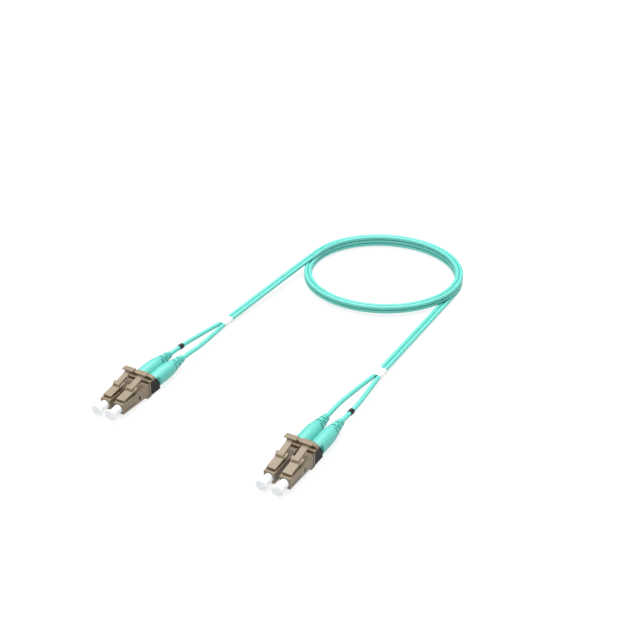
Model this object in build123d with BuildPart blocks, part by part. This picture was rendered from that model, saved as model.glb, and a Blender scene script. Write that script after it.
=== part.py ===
from build123d import *
import os
import math

# Duplex fibre optic patch cord: two duplex plug ends, a flat two-jacket cord
# wound into a neat loop of two and a half turns, and dust caps on every plug.
# Millimetres, +Z up.  The cord lies on Z = 0.  Both plug ends point along -Y,
# the loop lies towards +Y, end "a" is at -X and end "b" at +X.  The origin is
# midway between the two plug ends, at the middle of their depth, on Z = 0.

# ------------------------------------------------------------ driving sizes
PITCH = 6.25            # plug to plug, duplex
AXIS_Z = 3.7            # height of the ferrule axes above the surface

END_X = 38.5            # half distance between the two duplex ends
FRONT_A = -33.32        # Y of the housing front face, end a
FRONT_B = -40.62        # Y of the housing front face, end b

# plug housing
HOUSE_W = 4.45          # square section
HOUSE_L = 13.1
HOUSE_R = 0.30
BORE_R = 1.80           # front bore round the ferrule
SHOULDER_S = 4.75       # inner shoulder that the ferrule flange rests on
SHOULDER_T = 0.5
SHOULDER_R = 1.10

# latch
LATCH_W = 3.48
LATCH_REAR_W = 2.40
LATCH_EAR_W = 4.70
THUMB_W = 4.84
HINGE_S = 1.95          # hinge line behind the housing front
HINGE_Z = 2.63          # hinge line above the ferrule axis

# rear body
REAR_W = 4.45
REAR_TOP = 2.25
FOOT_Z = -3.70
NECK_W = 3.80
NECK_END = 20.25          # the boot's collar follows the neck inside the clip
DECK_TOP = 2.80
STEM_R = 1.45
STEM_END = 27.4
CORE_R = 1.00

# ferrule group
FERRULE_R = 0.625
FERRULE_TIP = -1.2
FERRULE_END = 8.5
HOLDER_R = 1.60
HOLDER_TUBE_R = 1.00
WIRE_D = 0.28
SPRING_R = 1.36
SPRING_TURNS = 5.0

# duplex clip
CLIP_W = 10.75
CLIP_S0, CLIP_S1 = 16.95, 22.4
CLIP_BOTTOM, CLIP_TOP = -3.45, 2.80

# boot
COLLAR_S0 = 20.35
COLLAR_R = 2.62
COLLAR_W = 3.86
BOOT_S0 = 22.45
BOOT_PROFILE = [(22.45, 2.92), (23.1, 3.05), (30.0, 3.04), (31.2, 2.93), (33.0, 2.66),
                (35.0, 2.30), (37.0, 1.97), (39.0, 1.68), (40.3, 1.50), (40.7, 1.30)]
BOOT_BORE_R = 2.05
BOOT_BORE_END = 27.9

# cord
JACKET_D = 1.85
CORD_W = 2 * JACKET_D
LOOP_X, LOOP_Y = 2.05, 115.63
LOOP_R = 35.1
LAYERS = 3
SLEEVE_L = 5.8
SLEEVE_W, SLEEVE_H = 4.15, 2.30
SLEEVE_A_Y, SLEEVE_B_Y = 39.93, 35.43     # Y of the plug-side end of each sleeve
SLEEVE_Z = 2.05
MARKER_S = 47.85
MARKER_L = 2.5
MARKER_R = 1.14

os.makedirs("parts", exist_ok=True)

ENDS = {"a": (-END_X, FRONT_A, SLEEVE_A_Y), "b": (END_X, FRONT_B, SLEEVE_B_Y)}
SIDES = {"1": -PITCH / 2, "2": PITCH / 2}
MARKED = {"a1", "b2"}


def save(item, name):
    item.part.label = name
    export_step(item.part, f"parts/{name}.step")


def cross(xc, yf, s):
    """Section plane across the plug, s behind its front face; extrudes forward."""
    return Plane(origin=(xc, yf + s, AXIS_Z), x_dir=(1, 0, 0), z_dir=(0, -1, 0))


def side(xc, yf):
    """Side plane through the plug axis: local x is depth, local y is height."""
    return Plane(origin=(xc, yf, AXIS_Z), x_dir=(0, 1, 0), z_dir=(1, 0, 0))


def plan(xc, yf, z):
    """Plan plane: local x is depth behind the front, local y is -X."""
    return Plane(origin=(xc, yf, AXIS_Z + z), x_dir=(0, 1, 0), z_dir=(0, 0, 1))


# ---------------------------------------------------------------- the plugs
for end, (xe, yf, sleeve_y) in ENDS.items():
    for num, dx in SIDES.items():
        tag = end + num
        xc = xe + dx
        axis = Axis((xc, yf, AXIS_Z), (0, 1, 0))
        half = HOUSE_W / 2

        # -- plug housing: square nose, deeper towards the back, open front bore
        with BuildPart() as housing:
            with BuildSketch(side(xc, yf)):
                Polygon((0, -half), (0, half), (HOUSE_L, half), (HOUSE_L, -2.62), (2.4, -half), align=None)
            extrude(amount=half, both=True)
            fillet(housing.edges().filter_by(Axis.Y), HOUSE_R)
            fillet(housing.faces().sort_by(Axis.Y)[0].edges(), 0.16)
            # bore, shoulder and spring chamber
            with BuildSketch(cross(xc, yf, SHOULDER_S)):
                Circle(BORE_R)
            extrude(amount=SHOULDER_S, mode=Mode.SUBTRACT)
            with BuildSketch(cross(xc, yf, HOUSE_L)):
                Circle(BORE_R)
            extrude(amount=HOUSE_L - SHOULDER_S - SHOULDER_T, mode=Mode.SUBTRACT)
            with BuildSketch(cross(xc, yf, SHOULDER_S + SHOULDER_T + 0.1)):
                Circle(SHOULDER_R)
            extrude(amount=SHOULDER_T + 0.2, mode=Mode.SUBTRACT)
            # narrow window in each side wall
            with BuildSketch(side(xc, yf)):
                with Locations((9.95, -0.5)):
                    SlotOverall(1.9, 0.85, rotation=90)
            extrude(amount=4, both=True, mode=Mode.SUBTRACT)
            # shallow guide groove along each flank of the nose
            for sx in (-1, 1):
                with BuildSketch(Plane(origin=(xc + sx * half, yf, AXIS_Z), x_dir=(0, 1, 0), z_dir=(sx, 0, 0))):
                    with Locations((4.0, -0.9 * sx * 0 - 0.95)):
                        Rectangle(6.4, 0.36)
                extrude(amount=-0.14, mode=Mode.SUBTRACT)
        save(housing, f"plug_housing_{tag}")

        # -- latch: flexing arm with shoulders, and the thumb bar at its end
        top = [(1.33, 3.16), (1.45, 3.22), (6.75, 3.88), (7.25, 4.75), (13.5, 6.28), (14.0, 6.55)]
        under = [(15.35, 6.45), (14.5, 6.05), (13.6, 5.58), (8.7, 4.36), (7.9, 4.00), (6.9, 3.20), (6.1, 2.98), (3.2, 2.74), (2.45, 2.42)]
        w, r, e = LATCH_W / 2, LATCH_REAR_W / 2, LATCH_EAR_W / 2
        # shoulders, spreading from the step, a little below the top of the arm
        with BuildPart() as shoulders:
            with BuildSketch(side(xc, yf)):
                Polygon((6.3, 3.15), (6.3, 3.78), (6.75, 3.84), (8.25, 4.50), (9.15, 4.82), (9.15, 4.15), (8.25, 3.90), (7.1, 3.35), align=None)
            extrude(amount=e, both=True)
            with BuildSketch(plan(xc, yf, 0)):
                Polygon((6.2, -w + 0.02), (6.2, w - 0.02), (6.6, w - 0.02), (8.3, e), (9.2, e), (9.2, -e), (8.3, -e), (6.6, -w + 0.02), align=None)
            extrude(amount=10, mode=Mode.INTERSECT)
        with BuildPart() as latch:
            with BuildSketch(side(xc, yf)):
                with BuildLine():
                    Polyline(*top, (14.0, 7.02), (15.35, 7.02), *under, (2.2, 2.27), (1.62, 2.27), (1.33, 2.45), close=True)
                make_face()
            extrude(amount=LATCH_W / 2, both=True)
            with BuildSketch(plan(xc, yf, 0)):
                with BuildLine():
                    right = [(1.2, w), (6.75, w), (7.45, r), (15.6, r)]
                    left = [(s, -v) for s, v in reversed(right)]
                    Polyline(*right, *left, close=True)
                make_face()
            extrude(amount=10, mode=Mode.INTERSECT)
            add(shoulders.part)
            # thumb bar
            with BuildSketch(side(xc, yf)):
                with Locations((15.22, 7.20)):
                    RectangleRounded(2.5, 0.48, 0.12)
            extrude(amount=THUMB_W / 2, both=True)
        save(latch, f"latch_{tag}")

        # -- rear body: stop block with a ramped foot, flange, neck, crimp stem
        with BuildPart() as rear:
            with BuildSketch(side(xc, yf)):
                Polygon((13.15, -2.62), (13.15, REAR_TOP), (16.9, REAR_TOP), (16.9, -3.55), (16.3, FOOT_Z), (14.6, FOOT_Z), align=None)
            extrude(amount=REAR_W / 2, both=True)
            fillet(rear.edges().filter_by(Axis.Y).group_by(Axis.Z)[-1], 0.55)
            # well under the thumb bar, between two rims
            with BuildSketch(plan(xc, yf, 1.9)):
                with Locations((15.65, 0)):
                    RectangleRounded(1.8, REAR_W - 0.9, 0.3)
            extrude(amount=3, mode=Mode.SUBTRACT)
            # relief groove in front of the flange
            with BuildSketch(cross(xc, yf, 16.0)):
                Rectangle(REAR_W + 2, 12)
                RectangleRounded(REAR_W - 0.36, 2 * (REAR_TOP - 0.16), 0.5, mode=Mode.SUBTRACT)
                with Locations((0, -1.7)):
                    Rectangle(REAR_W - 0.36, 5, mode=Mode.SUBTRACT)
            extrude(amount=0.4, mode=Mode.SUBTRACT)
            # spigot into the housing
            with BuildSketch(cross(xc, yf, 13.2)):
                Circle(1.72)
            extrude(amount=1.6)
            # neck inside the duplex clip
            with BuildSketch(cross(xc, yf, NECK_END)):
                with Locations((0, -0.2)):
                    RectangleRounded(NECK_W, 5.0, 0.4)
            extrude(amount=NECK_END - 16.8)
            # deck over the clip, with the latch guard standing on it
            with BuildSketch(side(xc, yf)):
                Polygon((16.62, 2.1), (16.62, 2.55), (16.8, DECK_TOP), (20.0, DECK_TOP), (20.0, 2.52), (16.9, 2.52), (16.9, 2.1), align=None)
            extrude(amount=REAR_W / 2, both=True)
            with BuildSketch(side(xc, yf)):
                Polygon((16.6, 1.2), (16.6, REAR_TOP), (16.8, DECK_TOP), (20.0, DECK_TOP), (20.0, 1.2), align=None)
            extrude(amount=NECK_W / 2, both=True)
            with BuildSketch(cross(xc, yf, 20.0)):
                with BuildLine():
                    Line((-REAR_W / 2, 2.55), (REAR_W / 2, 2.55))
                    Line((REAR_W / 2, 2.55), (REAR_W / 2, 2.9))
                    Spline((REAR_W / 2, 2.9), (1.55, 3.76), (0, 4.12), (-1.55, 3.76), (-REAR_W / 2, 2.9), tangents=[(0, 1), (0, -1)])
                    Line((-REAR_W / 2, 2.9), (-REAR_W / 2, 2.55))
                make_face()
            extrude(amount=1.75)
            # crimp stem and bore
            with BuildSketch(cross(xc, yf, STEM_END)):
                Circle(STEM_R)
            extrude(amount=STEM_END - NECK_END + 0.2)
            with BuildSketch(cross(xc, yf, STEM_END + 1)):
                Circle(CORE_R)
            extrude(amount=STEM_END + 1 - 11.0, mode=Mode.SUBTRACT)
        save(rear, f"rear_body_{tag}")

        # -- ferrule, its holder and the spring behind it
        with BuildPart() as ferrule:
            with BuildSketch(cross(xc, yf, FERRULE_END)):
                Circle(FERRULE_R)
            extrude(amount=FERRULE_END - FERRULE_TIP)
            chamfer(ferrule.faces().sort_by(Axis.Y)[0].edges(), 0.12)
        save(ferrule, f"ferrule_{tag}")

        with BuildPart() as holder:
            with BuildSketch(side(xc, yf)):
                Polygon((5.3, 0.63), (5.3, HOLDER_R - 0.25), (5.55, HOLDER_R), (7.2, HOLDER_R), (7.2, HOLDER_TUBE_R),
                        (10.4, HOLDER_TUBE_R), (10.4, 0.52), (8.55, 0.52), (8.55, 0.63), align=None)
            revolve(axis=axis)
            with Locations(Plane(origin=(xc, yf + 6.25, AXIS_Z), x_dir=(1, 0, 0), z_dir=(0, -1, 0))):
                with PolarLocations(HOLDER_R, 4, start_angle=45):
                    Box(0.5, 0.7, 3.0, mode=Mode.SUBTRACT)
        save(holder, f"ferrule_holder_{tag}")

        with BuildPart() as spring:
            with BuildLine() as wire:
                Helix(pitch=(11.50 - 7.25 - WIRE_D) / SPRING_TURNS, height=11.50 - 7.25 - WIRE_D, radius=SPRING_R,
                      center=(xc, yf + 7.26 + WIRE_D / 2, AXIS_Z), direction=(0, 1, 0))
            with BuildSketch(Plane(origin=wire.line @ 0, z_dir=wire.line % 0)):
                Circle(WIRE_D / 2)
            sweep(is_frenet=True)
        save(spring, f"ferrule_spring_{tag}")

        # -- fibre buffer from the ferrule holder back to the jacket
        with BuildPart() as buffer:
            with BuildSketch(cross(xc, yf, 28.1)):
                Circle(0.45)
            extrude(amount=28.1 - 9.7)
        save(buffer, f"fiber_buffer_{tag}")

        # -- crimp ring on the stem
        with BuildPart() as crimp:
            with BuildSketch(cross(xc, yf, 27.0)):
                Circle(1.93)
                Circle(STEM_R + 0.02, mode=Mode.SUBTRACT)
            extrude(amount=4.1)
        save(crimp, f"crimp_ring_{tag}")

        # -- strain relief boot: swelling body, staggered flex slots at the tail
        with BuildPart() as boot:
            with BuildSketch(side(xc, yf)):
                with BuildLine():
                    pts = BOOT_PROFILE
                    Polyline((COLLAR_S0, STEM_R + 0.05), (COLLAR_S0, COLLAR_R - 0.12), (COLLAR_S0 + 0.12, COLLAR_R), (21.5, 2.80), pts[0])
                    Line(pts[0], pts[1])
                    Spline(*pts[1:9], tangents=[(1, 0), (1, -0.11)])
                    Line(pts[8], pts[9])
                    Polyline(pts[9], (40.7, 0.985), (BOOT_BORE_END, 0.985), (BOOT_BORE_END, BOOT_BORE_R),
                             (BOOT_S0 + 0.2, BOOT_BORE_R), (BOOT_S0 + 0.2, STEM_R + 0.05), (COLLAR_S0, STEM_R + 0.05))
                make_face()
            revolve(axis=axis)
            # flat flanks on the collar, inside the clip
            with BuildSketch(cross(xc, yf, BOOT_S0 - 0.02)):
                Rectangle(8, 8)
                Rectangle(COLLAR_W, 8, mode=Mode.SUBTRACT)
            extrude(amount=4, mode=Mode.SUBTRACT)
            for i, s in enumerate((33.3, 34.7, 36.1, 37.5, 38.9)):
                turn = 90 * (i % 2)
                for k in (0, 180):
                    with BuildSketch(cross(xc, yf, s + 0.28)):
                        with BuildLine():
                            a0 = turn + k - 62
                            a1 = turn + k + 62
                            ro, ri = 3.4, 1.32
                            l1 = CenterArc((0, 0), ri, a0, a1 - a0)
                            l2 = CenterArc((0, 0), ro, a0, a1 - a0)
                            Line(l1 @ 0, l2 @ 0)
                            Line(l1 @ 1, l2 @ 1)
                        make_face()
                    extrude(amount=0.56, mode=Mode.SUBTRACT)
        save(boot, f"boot_{tag}")

        # -- dust cap: stem in the bore, waist, flanged end, blind hole for the ferrule
        with BuildPart() as cap:
            with BuildSketch(side(xc, yf)):
                with BuildLine():
                    Polyline((3.2, 0.70), (3.2, 1.60), (3.0, 1.72), (-0.9, 1.72))
                    Spline((-0.9, 1.72), (-2.2, 1.60), (-3.1, 1.56), (-4.0, 1.84), (-4.55, 2.22), tangents=[(-1, 0), (-1, 0.75)])
                    Polyline((-4.55, 2.22), (-4.72, 2.30), (-5.05, 2.30), (-5.25, 2.14), (-5.25, 0), (-1.9, 0), (-1.9, 0.70), (3.2, 0.70))
                make_face()
            revolve(axis=axis)
        save(cap, f"dust_cap_{tag}")

    # -- duplex clip round both rear bodies
    with BuildPart() as clip:
        with BuildSketch(side(xe, yf)):
            with BuildLine():
                Polyline((CLIP_S1, -1.6), (CLIP_S1, CLIP_BOTTOM + 0.35), (CLIP_S1 - 0.35, CLIP_BOTTOM), (CLIP_S0, CLIP_BOTTOM),
                         (CLIP_S0, CLIP_TOP), (20.0, CLIP_TOP))
                Spline((20.0, CLIP_TOP), (21.55, 0.85), (CLIP_S1, -1.6), tangents=[(1, -0.35), (0.02, -1)])
            make_face()
        extrude(amount=CLIP_W / 2, both=True)
        fillet(clip.edges().filter_by(Axis.Y).group_by(Axis.Z)[0], 0.35)
        # openings for the two necks, then for the two boot collars
        with BuildSketch(cross(xe, yf, NECK_END + 0.05)):
            with Locations((-PITCH / 2, -0.2), (PITCH / 2, -0.2)):
                RectangleRounded(NECK_W + 0.1, 5.1, 0.45)
            with Locations((-PITCH / 2, 1.8), (PITCH / 2, 1.8)):
                Rectangle(NECK_W + 0.1, 2.4)
        extrude(amount=NECK_END - CLIP_S0 + 2, mode=Mode.SUBTRACT)
        with BuildSketch(cross(xe, yf, CLIP_S1 + 1)):
            with Locations((-PITCH / 2, 1.0), (PITCH / 2, 1.0)):
                RectangleRounded(COLLAR_W + 0.08, 8.0, 1.0)
        extrude(amount=CLIP_S1 + 1 - NECK_END, mode=Mode.SUBTRACT)
        # seats for the decks of the rear bodies
        with BuildSketch(plan(xe, yf, 2.47)):
            with Locations((18.0, -PITCH / 2), (18.0, PITCH / 2)):
                Rectangle(4.1, REAR_W + 0.16)
        extrude(amount=4, mode=Mode.SUBTRACT)
    save(clip, f"duplex_clip_{end}")

# ----------------------------------------------------------------- the cord
RING_IN, RING_OUT = LOOP_R - CORD_W / 2, LOOP_R + CORD_W / 2
RING_H = LAYERS * JACKET_D

# outer shape of the loop: a closed ring as wide as the cord, three layers high
with BuildPart() as coil:
    with BuildSketch(Plane(origin=(LOOP_X, LOOP_Y, 0), x_dir=(1, 0, 0), z_dir=(0, -1, 0))):
        with Locations((LOOP_R, RING_H / 2)):
            RectangleRounded(CORD_W, RING_H, 0.8)
    revolve(axis=Axis((LOOP_X, LOOP_Y, 0), (0, 0, 1)))
save(coil, "cord_coil")

STRANDS = {
    # end: (plug-side point of the sleeve, point where the strand is inside the loop's ring)
    "a": (Vector(-END_X + 0.2, SLEEVE_A_Y, SLEEVE_Z), Vector(-33.35, 106.18, RING_H - JACKET_D / 2)),
    "b": (Vector(END_X - 0.2, SLEEVE_B_Y, SLEEVE_Z), Vector(37.4, 106.18, JACKET_D / 2)),
}
for end, (p, q) in STRANDS.items():
    run = (q - p).normalized()
    flat = Vector(0, 0, 1).cross(run).normalized()
    # flat two-jacket strand, straight from inside the sleeve to the loop
    start = p + run * 3.2
    with BuildPart() as strand:
        with BuildSketch(Plane(origin=start, x_dir=flat, z_dir=run)):
            SlotOverall(CORD_W, JACKET_D)
        extrude(amount=(q - start).length)
    save(strand, f"cord_strand_{end}")
    print(f"strand {end}: straight, {(q - start).length:.1f} mm, volume {strand.part.volume:.1f}")

    # white sleeve over the split
    with BuildPart() as sleeve:
        with BuildSketch(Plane(origin=p, x_dir=flat, z_dir=run)):
            SlotOverall(SLEEVE_W, SLEEVE_H)
            SlotOverall(CORD_W + 0.08, JACKET_D + 0.08, mode=Mode.SUBTRACT)
        extrude(amount=SLEEVE_L)
    save(sleeve, f"split_sleeve_{end}")

    # the two single-jacket legs, from inside the boots to the sleeve
    xe, yf, sleeve_y = ENDS[end]
    for num, dx in SIDES.items():
        tag = end + num
        side_sign = -1 if num == "1" else 1
        xc = xe + dx
        tip = p + flat * (-side_sign) * (JACKET_D / 2) * (1 if flat.X < 0 else -1) - run * 0.12
        route = [Vector(xc, yf + 28.3, AXIS_Z), Vector(xc, yf + 53.5, AXIS_Z), Vector(tip.X, tip.Y, tip.Z)]
        runs = [(b - a).length for a, b in zip(route, route[1:])]
        turn = math.radians((route[1] - route[0]).get_angle(route[2] - route[1]))
        radius = 0.45 * min(runs) / math.tan(turn / 2)
        print(f"leg {tag}: runs {[round(v, 1) for v in runs]}, turn {math.degrees(turn):.1f} deg, radius {radius:.1f}")
        with BuildPart() as leg:
            with BuildLine() as path:
                FilletPolyline(*[tuple(v) for v in route], radius=[radius])
            with BuildSketch(Plane(origin=path.line @ 0, z_dir=path.line % 0)):
                Circle(JACKET_D / 2)
            sweep()
        length = path.wires()[0].length
        print(f"  length {length:.2f}, volume {leg.part.volume:.2f} against {math.pi * (JACKET_D / 2) ** 2 * length:.2f}")
        save(leg, f"cord_leg_{tag}")

        # black marker band on one leg of each end
        if tag in MARKED:
            with BuildPart() as marker:
                with BuildSketch(cross(xc, yf, MARKER_S + MARKER_L / 2)):
                    Circle(MARKER_R)
                    Circle(JACKET_D / 2 + 0.03, mode=Mode.SUBTRACT)
                extrude(amount=MARKER_L)
            save(marker, f"marker_band_{end}")
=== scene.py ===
import math

import bmesh
import bpy
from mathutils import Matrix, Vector


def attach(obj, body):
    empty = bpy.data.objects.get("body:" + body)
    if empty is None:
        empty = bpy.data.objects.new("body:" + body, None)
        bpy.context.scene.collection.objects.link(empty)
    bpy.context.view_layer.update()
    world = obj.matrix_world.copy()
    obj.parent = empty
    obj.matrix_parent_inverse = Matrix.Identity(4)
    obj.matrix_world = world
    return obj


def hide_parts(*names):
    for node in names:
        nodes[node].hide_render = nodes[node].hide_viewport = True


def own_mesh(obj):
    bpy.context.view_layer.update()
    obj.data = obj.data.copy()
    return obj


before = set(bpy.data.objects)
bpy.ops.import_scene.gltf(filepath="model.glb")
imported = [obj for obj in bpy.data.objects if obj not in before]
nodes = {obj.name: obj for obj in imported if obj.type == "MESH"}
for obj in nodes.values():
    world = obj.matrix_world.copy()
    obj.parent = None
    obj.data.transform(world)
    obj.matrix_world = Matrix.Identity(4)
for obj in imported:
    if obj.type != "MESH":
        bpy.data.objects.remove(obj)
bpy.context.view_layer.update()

MM = 0.001
scene = bpy.context.scene

# ------------------------------------------------------------------ camera
cam_data = bpy.data.cameras.new("cam")
cam = bpy.data.objects.new("cam", cam_data)
scene.collection.objects.link(cam)
cam_data.sensor_width = 36.0
cam_data.lens = 57.76
cam_data.clip_start, cam_data.clip_end = 0.01, 20.0
cam.location = (0.18608, -0.27460, 0.22649)
aim = Vector((-0.00382, 0.06658, -0.00030)) - cam.location
cam.rotation_mode = "QUATERNION"
cam.rotation_quaternion = aim.to_track_quat("-Z", "Y")
scene.camera = cam

# ------------------------------------------------------- the cord's own facts
# the same sizes as the part's source, in millimetres
AXIS_Z = 3.7
PITCH = 6.25
ENDS = {"a": (-38.5, -33.32), "b": (38.5, -40.62)}
JACKET_D = 1.85
LOOP_X, LOOP_Y, LOOP_R = 2.05, 115.63, 35.1
STRANDS = {
    "a": (Vector((-38.3, 39.93, 2.05)), Vector((-33.35, 106.18, 4.625))),
    "b": (Vector((38.3, 35.43, 2.05)), Vector((37.4, 106.18, 0.925))),
}


def nurbs(points, name):
    """The route's smooth line: an order-3 NURBS spline through its end points."""
    data = bpy.data.curves.new(name, "CURVE")
    data.dimensions = "3D"
    data.resolution_u = 24
    sp = data.splines.new("NURBS")
    sp.points.add(len(points) - 1)
    for i, p in enumerate(points):
        sp.points[i].co = (p[0] * MM, p[1] * MM, p[2] * MM, 1.0)
    sp.order_u = 3
    sp.use_endpoint_u = True
    sp.resolution_u = 24
    ob = bpy.data.objects.new(name, data)
    scene.collection.objects.link(ob)
    return ob


def line_of(points, name):
    """Points along the route's NURBS spline."""
    ob = nurbs(points, name)
    bpy.context.view_layer.update()
    me = bpy.data.meshes.new_from_object(ob)
    out = [v.co.copy() for v in me.vertices]
    bpy.data.meshes.remove(me)
    data = ob.data
    bpy.data.objects.remove(ob)
    bpy.data.curves.remove(data)
    keep = [out[0]]
    for p in out[1:]:
        if (p - keep[-1]).length > 1e-6:
            keep.append(p)
    return keep


def mesh_object(name, verts, faces, uvs=None, smooth=True):
    me = bpy.data.meshes.new(name)
    me.from_pydata([tuple(v) for v in verts], [], faces)
    if uvs is not None:
        layer = me.uv_layers.new(name="UVMap")
        for poly in me.polygons:
            for li, uv in zip(poly.loop_indices, uvs[poly.index]):
                layer.data[li].uv = uv
    for poly in me.polygons:
        poly.use_smooth = smooth
    me.validate()
    ob = bpy.data.objects.new(name, me)
    scene.collection.objects.link(ob)
    return ob


def tube(name, line, section, flat_up=Vector((0, 0, 1)), scale=None):
    """A closed tube of the given section (across, up) along a line of points, in metres.
    scale, if given, is a list of factors, one per point of the line."""
    n = len(section)
    verts, faces, uvs = [], [], []
    dist = [0.0]
    for a, b in zip(line, line[1:]):
        dist.append(dist[-1] + (b - a).length)
    around = [0.0]
    for i in range(n):
        a, b = section[i], section[(i + 1) % n]
        around.append(around[-1] + math.hypot(a[0] - b[0], a[1] - b[1]))
    for i, p in enumerate(line):
        t = (line[min(i + 1, len(line) - 1)] - line[max(i - 1, 0)]).normalized()
        side = t.cross(flat_up).normalized()
        up = side.cross(t).normalized()
        k = scale[i] if scale else 1.0
        for x, y in section:
            verts.append(p + side * (x * k) + up * (y * k))
    for i in range(len(line) - 1):
        for j in range(n):
            j2 = (j + 1) % n
            faces.append((i * n + j, i * n + j2, (i + 1) * n + j2, (i + 1) * n + j))
            uvs.append(((dist[i], around[j]), (dist[i], around[j + 1]), (dist[i + 1], around[j + 1]), (dist[i + 1], around[j])))
    faces.append(tuple(reversed(range(n))))
    uvs.append([(0.0, 0.0)] * n)
    last = (len(line) - 1) * n
    faces.append(tuple(last + j for j in range(n)))
    uvs.append([(0.0, 0.0)] * n)
    ob = mesh_object(name, verts, faces, uvs)
    bm = bmesh.new()
    bm.from_mesh(ob.data)
    bmesh.ops.recalc_face_normals(bm, faces=bm.faces)
    bm.to_mesh(ob.data)
    bm.free()
    return ob


def zip_section(r, c, web):
    """Two round jackets of radius r, centres c either side, joined by a web of half thickness web."""
    pts = []
    join = math.asin(min(1.0, web / r))          # where each round meets the web's level
    steps = 15
    for i in range(steps + 1):                    # right round, from below the web round to above it
        a = -math.pi + join + (2 * math.pi - 2 * join) * i / steps
        pts.append((c + r * math.cos(a), r * math.sin(a)))
    pts.append((0.0, web * 0.80))
    for i in range(steps + 1):                    # left round, from above to below
        a = join + (2 * math.pi - 2 * join) * i / steps
        pts.append((-c + r * math.cos(a), r * math.sin(a)))
    pts.append((0.0, -web * 0.80))
    return [(x * MM, y * MM) for x, y in pts]


# the flat cord: out of sleeve a, straight to the loop, two and a half turns
# clockwise going down, and straight to sleeve b
TOP_Z, PITCH_Z = 5.20, 1.72
TURN_IN, TURN_OUT = 176.3, 1.05
TURNING = 720.0 + TURN_IN - TURN_OUT
STEPS = 40
STEP = TURNING / STEPS
CONTROL_R = LOOP_R / math.cos(math.radians(STEP / 2))


def coil_point(k):
    """Control point k of the loop's turns."""
    ang = TURN_IN + STEP / 2 - STEP * k
    q = math.radians(ang - 29.1)
    r = CONTROL_R + 0.276 * math.cos(2 * q) - 0.161 * math.sin(2 * q)
    z = TOP_Z - (TOP_Z - JACKET_D / 2) * (k - 0.5) / STEPS
    t = math.radians(ang)
    return Vector((LOOP_X + r * math.cos(t), LOOP_Y + r * math.sin(t), z))


pa, qa = STRANDS["a"]
pb, qb = STRANDS["b"]
run_a, run_b = (qa - pa).normalized(), (qb - pb).normalized()
zip_route = [pa + run_a * 3.2] + [coil_point(k) for k in range(STEPS + 2)] + [pb + run_b * 3.2]
zip_line = line_of(zip_route, "zip_route")
zip_cord = tube("zip_cord", zip_line, zip_section(JACKET_D / 2, 0.915, 0.30))
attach(zip_cord, "root")
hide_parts("cord_coil", "cord_strand_a", "cord_strand_b")

# the single legs
legs = {}
for end, (xe, yf) in ENDS.items():
    p, q = STRANDS[end]
    run = (q - p).normalized()
    flat = Vector((0, 0, 1)).cross(run).normalized()
    for num, dx in (("1", -PITCH / 2), ("2", PITCH / 2)):
        tag = end + num
        side_sign = -1 if num == "1" else 1
        xc = xe + dx
        tip = p + flat * (-side_sign) * (JACKET_D / 2) * (1 if flat.x < 0 else -1) - run * 0.12
        bow = {"a1": 0.55, "a2": 0.9, "b1": -0.25, "b2": 0.35}[tag]
        route = [Vector((xc, yf + 28.3, AXIS_Z)), Vector((xc, yf + 43.0, AXIS_Z)), Vector((xc + bow, yf + 54.5, AXIS_Z - 0.35)), tip + run * 1.2]
        line = line_of(route, f"leg_route_{tag}")
        r = JACKET_D / 2 * MM
        ring = [(r * math.cos(2 * math.pi * i / 28), r * math.sin(2 * math.pi * i / 28)) for i in range(28)]
        leg = tube(f"leg_{tag}", line, ring)
        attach(leg, "root")
        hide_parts(f"cord_leg_{tag}")
        legs[tag] = (leg, line, route)


def between(line, lo, hi, count):
    """count + 1 evenly spaced points of the line, from distance lo to distance hi along it, in metres."""
    dist = [0.0]
    for a, b in zip(line, line[1:]):
        dist.append(dist[-1] + (b - a).length)
    out = []
    for i in range(count + 1):
        want = lo + (hi - lo) * i / count
        k = max(j for j in range(len(dist) - 1) if dist[j] <= want or j == 0)
        f = (want - dist[k]) / (dist[k + 1] - dist[k])
        out.append(line[k].lerp(line[k + 1], f))
    return out


def pill_section(c, r, pinch, n=44):
    """A rounded slot outline, its flats drawn in a little between its two rounds."""
    pts = []
    for i in range(n):
        a = 2 * math.pi * (i + 0.5) / n
        x = c * math.tanh(2.6 * math.cos(a)) / math.tanh(2.6) + r * math.cos(a)
        y = r * math.sin(a)
        y *= 1.0 - pinch * math.exp(-((x / 0.75) ** 2))
        pts.append((x, y))
    return pts


# white sleeve where each flat cord splits: shrunk over the two jackets, with a rolled lip at each end
sleeves = {}
for end, (p, q) in STRANDS.items():
    run = (q - p).normalized()
    flat = Vector((0, 0, 1)).cross(run).normalized()
    up = run.cross(flat).normalized()
    if up.z < 0:
        up = -up
    stations = [(0.0, 0.945), (0.0, 1.06), (0.05, 1.13), (0.16, 1.165), (0.34, 1.165), (0.50, 1.135), (0.85, 1.12), (1.6, 1.125), (2.4, 1.13),
                (3.2, 1.13), (4.0, 1.13), (4.6, 1.125), (5.0, 1.12), (5.30, 1.135), (5.46, 1.165), (5.64, 1.165), (5.75, 1.13), (5.8, 1.06),
                (5.8, 0.945)]
    inner = [(5.5, 0.945), (2.9, 0.945), (0.3, 0.945)]
    rings = [(s, pill_section(0.925, r, 0.03 if r < 1.0 else 0.07)) for s, r in stations + inner]
    n = len(rings[0][1])
    verts = [(p + run * s + flat * x + up * y) * MM for s, sec in rings for x, y in sec]
    faces = []
    for i in range(len(rings)):
        i2 = (i + 1) % len(rings)
        for j in range(n):
            j2 = (j + 1) % n
            faces.append((i * n + j, i * n + j2, i2 * n + j2, i2 * n + j))
    ob = mesh_object(f"sleeve_{end}", verts, faces)
    bm = bmesh.new()
    bm.from_mesh(ob.data)
    bmesh.ops.recalc_face_normals(bm, faces=bm.faces)
    bm.to_mesh(ob.data)
    bm.free()
    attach(ob, "root")
    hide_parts(f"split_sleeve_{end}")
    sleeves[end] = ob

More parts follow.
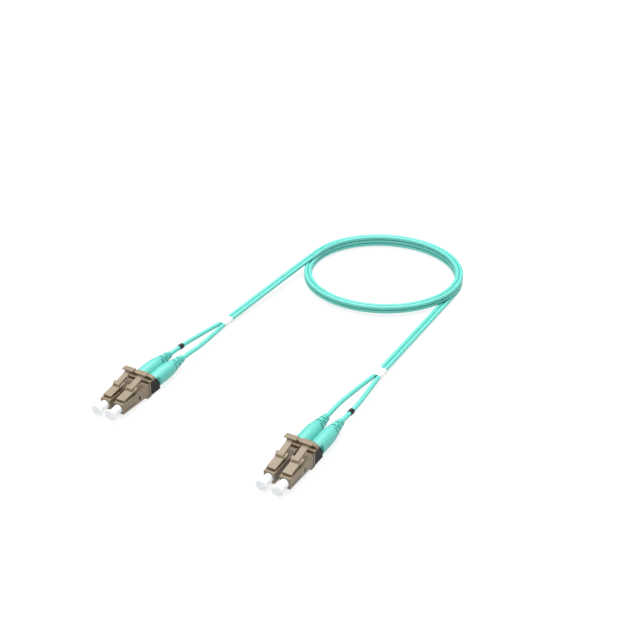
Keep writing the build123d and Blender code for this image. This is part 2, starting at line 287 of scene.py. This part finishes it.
# black marker bands, rounded at both ends, on the outer leg of each end
MARKER_S, MARKER_L = 47.85, 2.5
bands = {}
for end, tag in (("a", "a1"), ("b", "b2")):
    line = legs[tag][1]
    mid = MARKER_S - 28.3
    pts = between(line, (mid - MARKER_L / 2) * MM, (mid + MARKER_L / 2) * MM, 22)
    shape = []
    for i in range(23):
        u = abs(2 * i / 22 - 1)
        bulge = 1.0 - 0.02 * u * u
        shape.append((0.945 + (1.14 - 0.945) * (1 - u ** 9) ** 0.5 * bulge) if u < 1 else 0.945)
    ring = [(math.cos(2 * math.pi * i / 32) * MM, math.sin(2 * math.pi * i / 32) * MM) for i in range(32)]
    ob = tube(f"band_{end}", pts, ring, scale=shape)
    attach(ob, "root")
    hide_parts(f"marker_band_{end}")
    bands[end] = ob


# ---------------------------------------------------------------- materials
def srgb(r, g, b):
    out = []
    for v in (r, g, b):
        v = v / 255.0
        out.append(v / 12.92 if v <= 0.04045 else ((v + 0.055) / 1.055) ** 2.4)
    return (*out, 1.0)


class Mat:
    """A procedural material on a Principled shader, worked in object coordinates (metres)."""

    def __init__(self, name, **values):
        self.m = bpy.data.materials.new(name)
        self.m.use_nodes = True
        self.t = self.m.node_tree
        self.n, self.l = self.t.nodes, self.t.links
        self.bsdf = self.n["Principled BSDF"]
        for k, v in values.items():
            self.bsdf.inputs[k.replace("_", " ")].default_value = v
        self.coord = self.n.new("ShaderNodeTexCoord")

    def node(self, kind, **props):
        nd = self.n.new(kind)
        for k, v in props.items():
            setattr(nd, k, v)
        return nd

    def link(self, a, b):
        self.l.new(a, b)

    def noise(self, scale, detail=3.0, rough=0.5, coord=None, stretch=None):
        tex = self.node("ShaderNodeTexNoise")
        tex.inputs["Scale"].default_value = scale
        tex.inputs["Detail"].default_value = detail
        tex.inputs["Roughness"].default_value = rough
        src = coord or self.coord.outputs["Object"]
        if stretch:
            mp = self.node("ShaderNodeMapping")
            mp.inputs["Scale"].default_value = stretch
            self.link(src, mp.inputs["Vector"])
            src = mp.outputs["Vector"]
        self.link(src, tex.inputs["Vector"])
        return tex.outputs["Fac"]

    def span(self, fac, lo, hi, a=0.0, b=1.0):
        mr = self.node("ShaderNodeMapRange")
        for k, v in (("From Min", lo), ("From Max", hi), ("To Min", a), ("To Max", b)):
            mr.inputs[k].default_value = v
        self.link(fac, mr.inputs["Value"])
        return mr.outputs["Result"]

    def mix(self, fac, a, b):
        mx = self.node("ShaderNodeMix", data_type="RGBA")
        if isinstance(fac, float):
            mx.inputs[0].default_value = fac
        else:
            self.link(fac, mx.inputs[0])
        for v, s in ((a, 6), (b, 7)):
            if isinstance(v, tuple):
                mx.inputs[s].default_value = v
            else:
                self.link(v, mx.inputs[s])
        return mx.outputs[2]

    def colour(self, sock):
        self.link(sock, self.bsdf.inputs["Base Color"])

    def rough(self, sock):
        self.link(sock, self.bsdf.inputs["Roughness"])

    def bump(self, heights, strength=0.4):
        """heights: list of (factor socket, depth in metres)."""
        last = None
        for fac, depth in heights:
            b = self.node("ShaderNodeBump")
            b.inputs["Strength"].default_value = strength
            b.inputs["Distance"].default_value = depth
            self.link(fac, b.inputs["Height"])
            if last is not None:
                self.link(last, b.inputs["Normal"])
            last = b.outputs["Normal"]
        self.link(last, self.bsdf.inputs["Normal"])
        return last

    def edge(self, radius, lo=0.02, hi=0.35):
        """1 along convex edges: how far a rounded normal departs from the face's own."""
        bv = self.node("ShaderNodeBevel", samples=6)
        bv.inputs["Radius"].default_value = radius
        geo = self.node("ShaderNodeNewGeometry")
        dot = self.node("ShaderNodeVectorMath", operation="DOT_PRODUCT")
        self.link(bv.outputs["Normal"], dot.inputs[0])
        self.link(geo.outputs["Normal"], dot.inputs[1])
        return self.span(dot.outputs["Value"], 1.0 - lo * 0.2, 1.0 - hi, 0.0, 1.0), bv.outputs["Normal"]


def moulded(name, base, dark, light, rough, grain=26000.0, depth=4e-6, edge_highlight=0.35, painted_shade=None, shade_reach=0.003, **kw):
    """Moulded plastic: fine texture, faint flow mottling, edges lightened by a painted highlight, and
    painted shade: the colour darkened in hollows and between and under parts, towards the given shade colour."""
    m = Mat(name, **kw)
    mott = m.noise(420.0, 4.0, 0.55)
    flow = m.noise(160.0, 3.0, 0.6, stretch=(1.0, 0.25, 1.0))
    col = m.mix(m.span(mott, 0.35, 0.65), dark, base)
    col = m.mix(m.span(flow, 0.45, 0.75, 0.0, 0.35), col, light)
    # painted highlight: convex edges lightened towards the light colour, scaled by the edge gain
    edge, _ = m.edge(0.00012)
    fac = m.node("ShaderNodeMath", operation="MULTIPLY")
    m.link(edge, fac.inputs[0])
    fac.inputs[1].default_value = edge_highlight
    col = m.mix(fac.outputs[0], col, light)
    # painted shade: where ambient occlusion finds surfaces within reach, the colour is darkened towards the given
    # shade colour, in hollows and between and under parts
    if painted_shade is not None:
        ao = m.node("ShaderNodeAmbientOcclusion", samples=8)
        ao.inputs["Distance"].default_value = shade_reach
        col = m.mix(m.span(ao.outputs["AO"], 0.15, 0.92), painted_shade, col)
    m.colour(col)
    fine = m.noise(grain, 2.0, 0.5)
    m.rough(m.span(m.noise(1500.0, 3.0), 0.3, 0.7, rough - 0.05, rough + 0.06))
    m.bump([(fine, depth), (m.noise(2600.0, 3.0, 0.5), depth * 1.5)], 0.5)
    return m.m


def jacket(name, base, dark, light, rough, painted_shade, shade_reach, **kw):
    """Extruded cord jacket: faint drawn lines along its length, over a fine skin, and painted shade
    darkening the groove where two jackets meet and wherever the cord lies close to other surfaces."""
    m = Mat(name, **kw)
    uv = m.coord.outputs["UV"]
    drawn = m.noise(1.0, 3.0, 0.5, coord=uv, stretch=(90.0, 9000.0, 1.0))
    patch = m.noise(1.0, 3.0, 0.5, coord=uv, stretch=(240.0, 700.0, 1.0))
    skin = m.noise(1.0, 2.0, 0.5, coord=uv, stretch=(16000.0, 16000.0, 1.0))
    col = m.mix(m.span(patch, 0.35, 0.65), dark, base)
    col = m.mix(m.span(drawn, 0.45, 0.8, 0.0, 0.25), col, light)
    # painted shade: darker towards the given shade colour where ambient occlusion finds surfaces close by, as in the
    # groove between the two jackets
    ao = m.node("ShaderNodeAmbientOcclusion", samples=8)
    ao.inputs["Distance"].default_value = shade_reach
    col = m.mix(m.span(ao.outputs["AO"], 0.35, 0.80), painted_shade, col)
    m.colour(col)
    m.rough(m.span(patch, 0.3, 0.7, rough - 0.04, rough + 0.06))
    m.bump([(drawn, 2.5e-6), (skin, 1.5e-6)], 0.4)
    return m.m


def metal(name, base, rough, lines=(1.0, 1.0, 1.0), **kw):
    m = Mat(name, Metallic=1.0, **kw)
    turned = m.noise(5200.0, 2.0, 0.5, stretch=lines)
    tint = m.noise(700.0, 3.0, 0.5)
    dark = tuple(c * 0.82 for c in base[:3]) + (1.0,)
    m.colour(m.mix(m.span(tint, 0.3, 0.7), dark, base))
    m.rough(m.span(turned, 0.3, 0.7, rough - 0.08, rough + 0.10))
    m.bump([(turned, 3e-6)], 0.4)
    return m.m


AQUA, AQUA_DK, AQUA_LT = srgb(98, 192, 180), srgb(93, 187, 175), srgb(108, 200, 189)
mats = {
    # tan and black carry painted shade in their hollows; every moulded finish carries a painted highlight on its
    # edges
    "tan": moulded("tan_moulded", srgb(135, 119, 97), srgb(130, 114, 92), srgb(152, 136, 113), 0.40, IOR=1.5, painted_shade=srgb(90, 78, 61), shade_reach=0.0025),
    # a second, more shaded copy of the tan for the rear bodies: its painted shade is darker and reaches farther,
    # under the thumb bars and between the plugs
    "tan_rear_shaded": moulded("tan_rear_moulded", srgb(135, 119, 97), srgb(130, 114, 92), srgb(152, 136, 113), 0.42, IOR=1.5, painted_shade=srgb(74, 61, 46), shade_reach=0.005),
    "black": moulded("black_moulded", srgb(31, 30, 32), srgb(27, 26, 28), srgb(48, 47, 49), 0.55, IOR=1.5, Specular_IOR_Level=0.2, painted_shade=srgb(12, 12, 12)),
    "boot": moulded("boot_rubber", AQUA, AQUA_DK, AQUA_LT, 0.42, grain=18000.0, depth=5e-6, edge_highlight=0.25, IOR=1.48),
    "jacket": jacket("jacket_aqua", srgb(104, 201, 189), srgb(99, 196, 184), srgb(114, 208, 197), 0.36, painted_shade=srgb(64, 146, 135), shade_reach=0.0008, IOR=1.48),
    "cap": moulded("cap_polythene", srgb(239, 242, 243), srgb(234, 238, 240), srgb(246, 248, 249), 0.38, grain=14000.0, depth=3e-6,
                   edge_highlight=0.3, IOR=1.5, Subsurface_Weight=0.35, Subsurface_Radius=(1.0, 1.0, 1.0), Subsurface_Scale=0.0012),
    "sleeve": moulded("sleeve_white", srgb(238, 238, 238), srgb(231, 231, 231), srgb(248, 248, 248), 0.45, IOR=1.48),
    "marker": moulded("marker_black", srgb(36, 36, 38), srgb(30, 30, 32), srgb(54, 54, 56), 0.5, IOR=1.48, Specular_IOR_Level=0.3),
    "zirconia": moulded("zirconia", srgb(240, 237, 228), srgb(233, 230, 220), srgb(248, 246, 240), 0.12, grain=30000.0, depth=1e-6, edge_highlight=0.2, IOR=2.1),
    "nickel": metal("nickel_brass", srgb(198, 193, 182), 0.28, (1.0, 8.0, 1.0)),
    "spring": metal("spring_wire", srgb(190, 192, 196), 0.22),
    "crimp": metal("crimp_metal", srgb(200, 199, 196), 0.3, (1.0, 8.0, 1.0)),
    "buffer": moulded("buffer_white", srgb(238, 238, 234), srgb(230, 230, 226), srgb(247, 247, 244), 0.3, IOR=1.5),
}


def dress(ob, mat):
    ob.data.materials.clear()
    ob.data.materials.append(mats[mat])


dress(zip_cord, "jacket")
for leg, _, _ in legs.values():
    dress(leg, "jacket")
for ob in sleeves.values():
    dress(ob, "sleeve")
for ob in bands.values():
    dress(ob, "marker")

BY_NODE = {"plug_housing": "tan", "latch": "tan", "rear_body": "tan_rear_shaded", "ferrule_holder": "nickel", "ferrule_spring": "spring",
           "ferrule": "zirconia", "fiber_buffer": "buffer", "crimp_ring": "crimp", "boot": "boot", "dust_cap": "cap",
           "duplex_clip": "black", "split_sleeve": "sleeve", "marker_band": "marker"}


def plain_tone(node):
    for key in sorted(BY_NODE, key=len, reverse=True):
        if node.startswith(key):
            return BY_NODE[key]
    return None


for name, ob in nodes.items():
    tone = plain_tone(name)
    if tone:
        for s in ob.material_slots:
            s.material = mats[tone]
        if not ob.material_slots:
            ob.data.materials.append(mats[tone])

# each ferrule spring gets a copy with its own mesh and no custom properties, in place of the part's spring
for tag in legs:
    source = nodes[f"ferrule_spring_{tag}"]
    coil = source.copy()
    coil.data = source.data.copy()
    coil.name = coil.data.name = f"spring_wire_{tag}"
    for key in list(coil.keys()):
        del coil[key]
    scene.collection.objects.link(coil)
    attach(coil, "root")
    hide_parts(f"ferrule_spring_{tag}")
    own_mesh(coil)

for tag, (leg, line, route) in legs.items():
    xe, yf = ENDS[tag[0]]
    xc = xe + (-PITCH / 2 if tag[1] == "1" else PITCH / 2)

# ------------------------------------------------------------------- the stage
bm = bmesh.new()
bmesh.ops.create_grid(bm, x_segments=1, y_segments=1, size=4.0)
fm = bpy.data.meshes.new("floor")
bm.to_mesh(fm)
bm.free()
floor = bpy.data.objects.new("floor", fm)
scene.collection.objects.link(floor)
floor.location = (0, 0.1, -0.00003)
ground = Mat("floor_white", Roughness=0.9)
ground.bsdf.inputs["Base Color"].default_value = (0.15, 0.15, 0.15, 1.0)
ground.bsdf.inputs["Emission Color"].default_value = (1.0, 1.0, 1.0, 1.0)
ground.bsdf.inputs["Emission Strength"].default_value = 0.82
floor.data.materials.append(ground.m)

world = bpy.data.worlds.new("studio")
world.use_nodes = True
# an overhead dome: brightest straight up, dark at the horizon
wt = world.node_tree
direction = wt.nodes.new("ShaderNodeTexCoord")
parts = wt.nodes.new("ShaderNodeSeparateXYZ")
wt.links.new(direction.outputs["Generated"], parts.inputs[0])
up = wt.nodes.new("ShaderNodeMath")
up.operation = "MAXIMUM"
wt.links.new(parts.outputs["Z"], up.inputs[0])
up.inputs[1].default_value = 0.0
fall = wt.nodes.new("ShaderNodeMath")
fall.operation = "POWER"
wt.links.new(up.outputs[0], fall.inputs[0])
fall.inputs[1].default_value = 3.0
level = wt.nodes.new("ShaderNodeMath")
level.operation = "MULTIPLY"
wt.links.new(fall.outputs[0], level.inputs[0])
level.inputs[1].default_value = 3.0
# the surroundings themselves show as the same pale tone as the floor
seen = wt.nodes.new("ShaderNodeLightPath")
pale = wt.nodes.new("ShaderNodeMath")
pale.operation = "MAXIMUM"
wt.links.new(level.outputs[0], pale.inputs[0])
wt.links.new(seen.outputs["Is Camera Ray"], pale.inputs[1])
wt.links.new(pale.outputs[0], wt.nodes["Background"].inputs["Strength"])
wt.nodes["Background"].inputs["Color"].default_value = (1.0, 1.0, 1.0, 1.0)
scene.world = world


def softbox(name, at, target, size, power):
    d = bpy.data.lights.new(name, "AREA")
    d.shape = "RECTANGLE"
    d.size, d.size_y = size
    d.energy = power
    ob = bpy.data.objects.new(name, d)
    scene.collection.objects.link(ob)
    ob.location = at
    ob.rotation_mode = "QUATERNION"
    ob.rotation_quaternion = (Vector(target) - Vector(at)).to_track_quat("-Z", "Y")
    return ob


softbox("key", (-0.25, 0.40, 1.00), (0.0, 0.05, 0.0), (0.9, 0.9), 9.5)
softbox("front", (0.0, -1.2, 0.35), (0.0, 0.0, 0.0), (1.0, 0.6), 1.2)

scene.view_settings.view_transform = "Standard"
scene.view_settings.look = "None"
